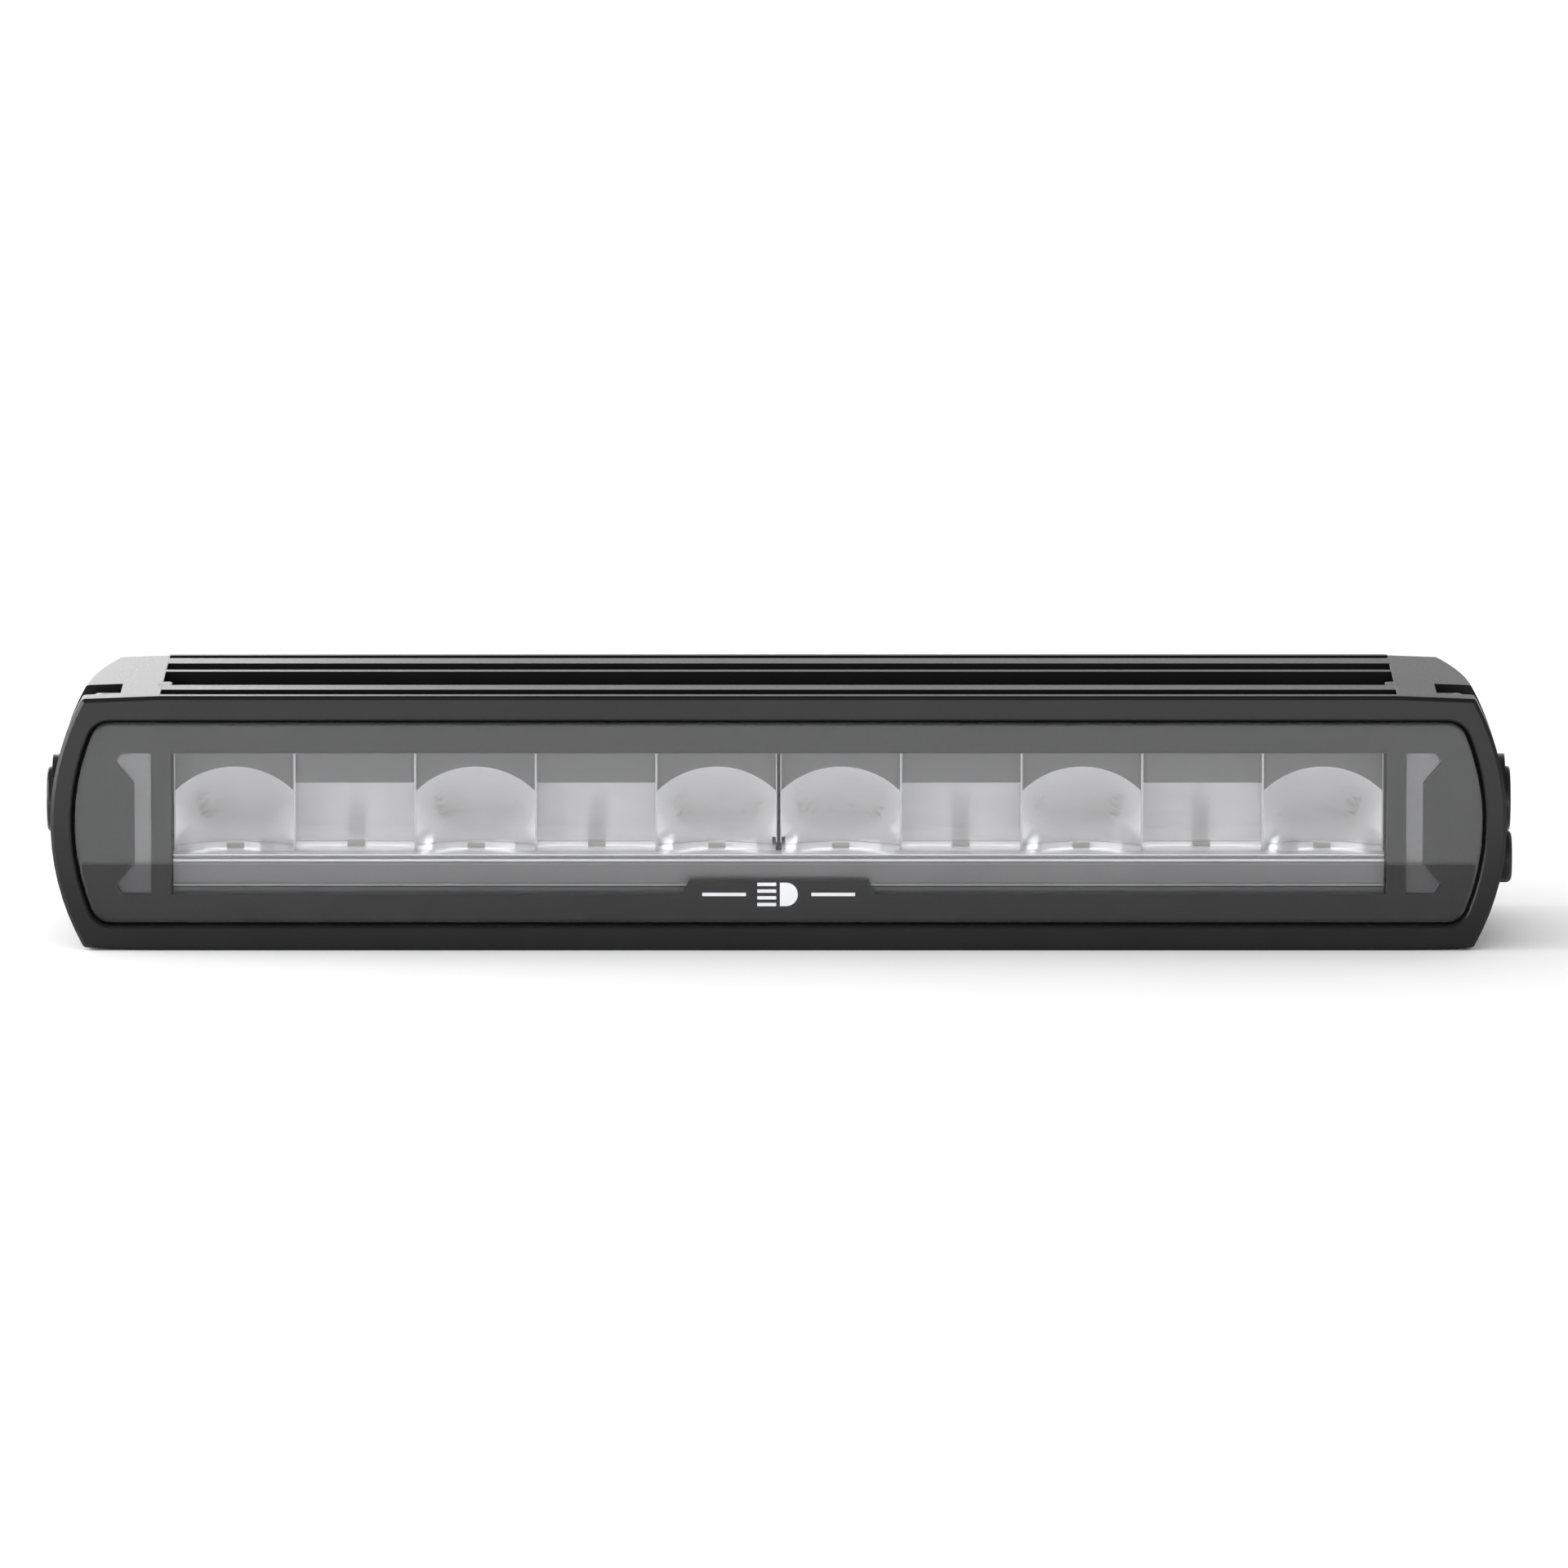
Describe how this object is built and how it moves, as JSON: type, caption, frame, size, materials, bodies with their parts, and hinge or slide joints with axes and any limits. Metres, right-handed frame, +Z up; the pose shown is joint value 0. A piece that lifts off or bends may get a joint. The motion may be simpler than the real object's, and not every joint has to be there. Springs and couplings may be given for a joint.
{
  "type": "led light bar",
  "caption": "Slim single-row LED light bar for a truck or trailer: finned housing with bowed end caps, flush front lens, reflector cells and side fixing bolts.",
  "frame": {"origin": "under the middle of the bar, on the plane that its underside rests on", "axes": "+X along the bar to the end with the vent, the lens faces -Y, +Z up"},
  "size_m": [0.304, 0.06, 0.053],
  "materials": {
    "powder_coat": "fine-textured black powder coat, satin",
    "clear_lens": "clear polycarbonate, glossy",
    "seal_rubber": "matt",
    "mask_plastic": "dark grey, smooth",
    "symbol_print": "white print",
    "reflector_metal": "vacuum-metallised",
    "trim_metal": "satin metallised",
    "white_board": "white solder mask",
    "led_phosphor": "pale phosphor, unlit",
    "thermal_pad": "soft grey pad",
    "frosted_guide": "frosted acrylic",
    "zinc_steel": "zinc-plated",
    "black_steel": "black zinc-nickel",
    "black_plastic": "moulded, matt",
    "membrane": "white",
    "circuit_board": "green solder mask",
    "bare_aluminium": "plain"
  },
  "bodies": {
    "housing": {"front_bezel": "powder_coat", "front_lens": "clear_lens", "lens_seal": "seal_rubber", "lens_mask": "mask_plastic", "beam_symbol": "symbol_print", "reflector_module_right": "reflector_metal", "reflector_module_left": "reflector_metal", "thermal_pad_right": "thermal_pad", "thermal_pad_left": "thermal_pad", "led_board_right": "white_board", "led_board_left": "white_board", "led_packages": "led_phosphor", "optics_screws": "zinc_steel", "lower_trim": "trim_metal", "position_light_guide_right": "frosted_guide", "position_light_guide_left": "frosted_guide", "position_light_board_right": "white_board", "position_light_board_left": "white_board", "position_leds": "led_phosphor", "housing_extrusion": "powder_coat", "end_cap_left": "powder_coat", "end_cap_right": "powder_coat", "end_cap_gasket_right": "seal_rubber", "end_cap_gasket_left": "seal_rubber", "end_cap_screws": "black_steel", "bezel_screws": "black_steel", "threaded_insert_right": "zinc_steel", "threaded_insert_left": "zinc_steel", "vent_plug": "black_plastic", "vent_membrane": "membrane", "driver_board": "circuit_board", "driver_standoffs": "bare_aluminium", "driver_board_screws": "zinc_steel", "driver_inductors": "black_plastic", "driver_capacitors": "bare_aluminium", "driver_power_transistors": "black_plastic", "driver_controller": "black_plastic", "board_connectors": "membrane", "cable_gland_body": "black_plastic", "cable_gland_cap": "black_plastic", "cable_gland_seal": "seal_rubber", "cable_gland_lock_nut": "black_plastic"},
    "washer_right": {"side_washer_right": "black_steel"},
    "bolt_right": {"side_bolt_right": "black_steel"},
    "washer_left": {"side_washer_left": "black_steel"},
    "bolt_left": {"side_bolt_left": "black_steel"}
  },
  "joints": [
    {"name": "washer_right_slide", "type": "slide", "parent": "housing", "child": "washer_right", "axis": [1, 0, 0], "range_m": [0, 0.00375]},
    {"name": "bolt_right_turn", "type": "hinge", "parent": "washer_right", "child": "bolt_right", "pos_m": [0.15, 0.004, 0.0265], "axis": [1, 0, 0], "range_deg": [0, 1080]},
    {"name": "washer_left_slide", "type": "slide", "parent": "housing", "child": "washer_left", "axis": [-1, 0, 0], "range_m": [0, 0.00375]},
    {"name": "bolt_left_turn", "type": "hinge", "parent": "washer_left", "child": "bolt_left", "pos_m": [-0.15, 0.004, 0.0265], "axis": [-1, 0, 0], "range_deg": [0, 1080]}
  ],
  "couplings": [
    {"joint": "bolt_right_turn", "follows": "washer_right_slide", "rad_per_m": 5026.5},
    {"joint": "bolt_left_turn", "follows": "washer_left_slide", "rad_per_m": 5026.5}
  ]
}
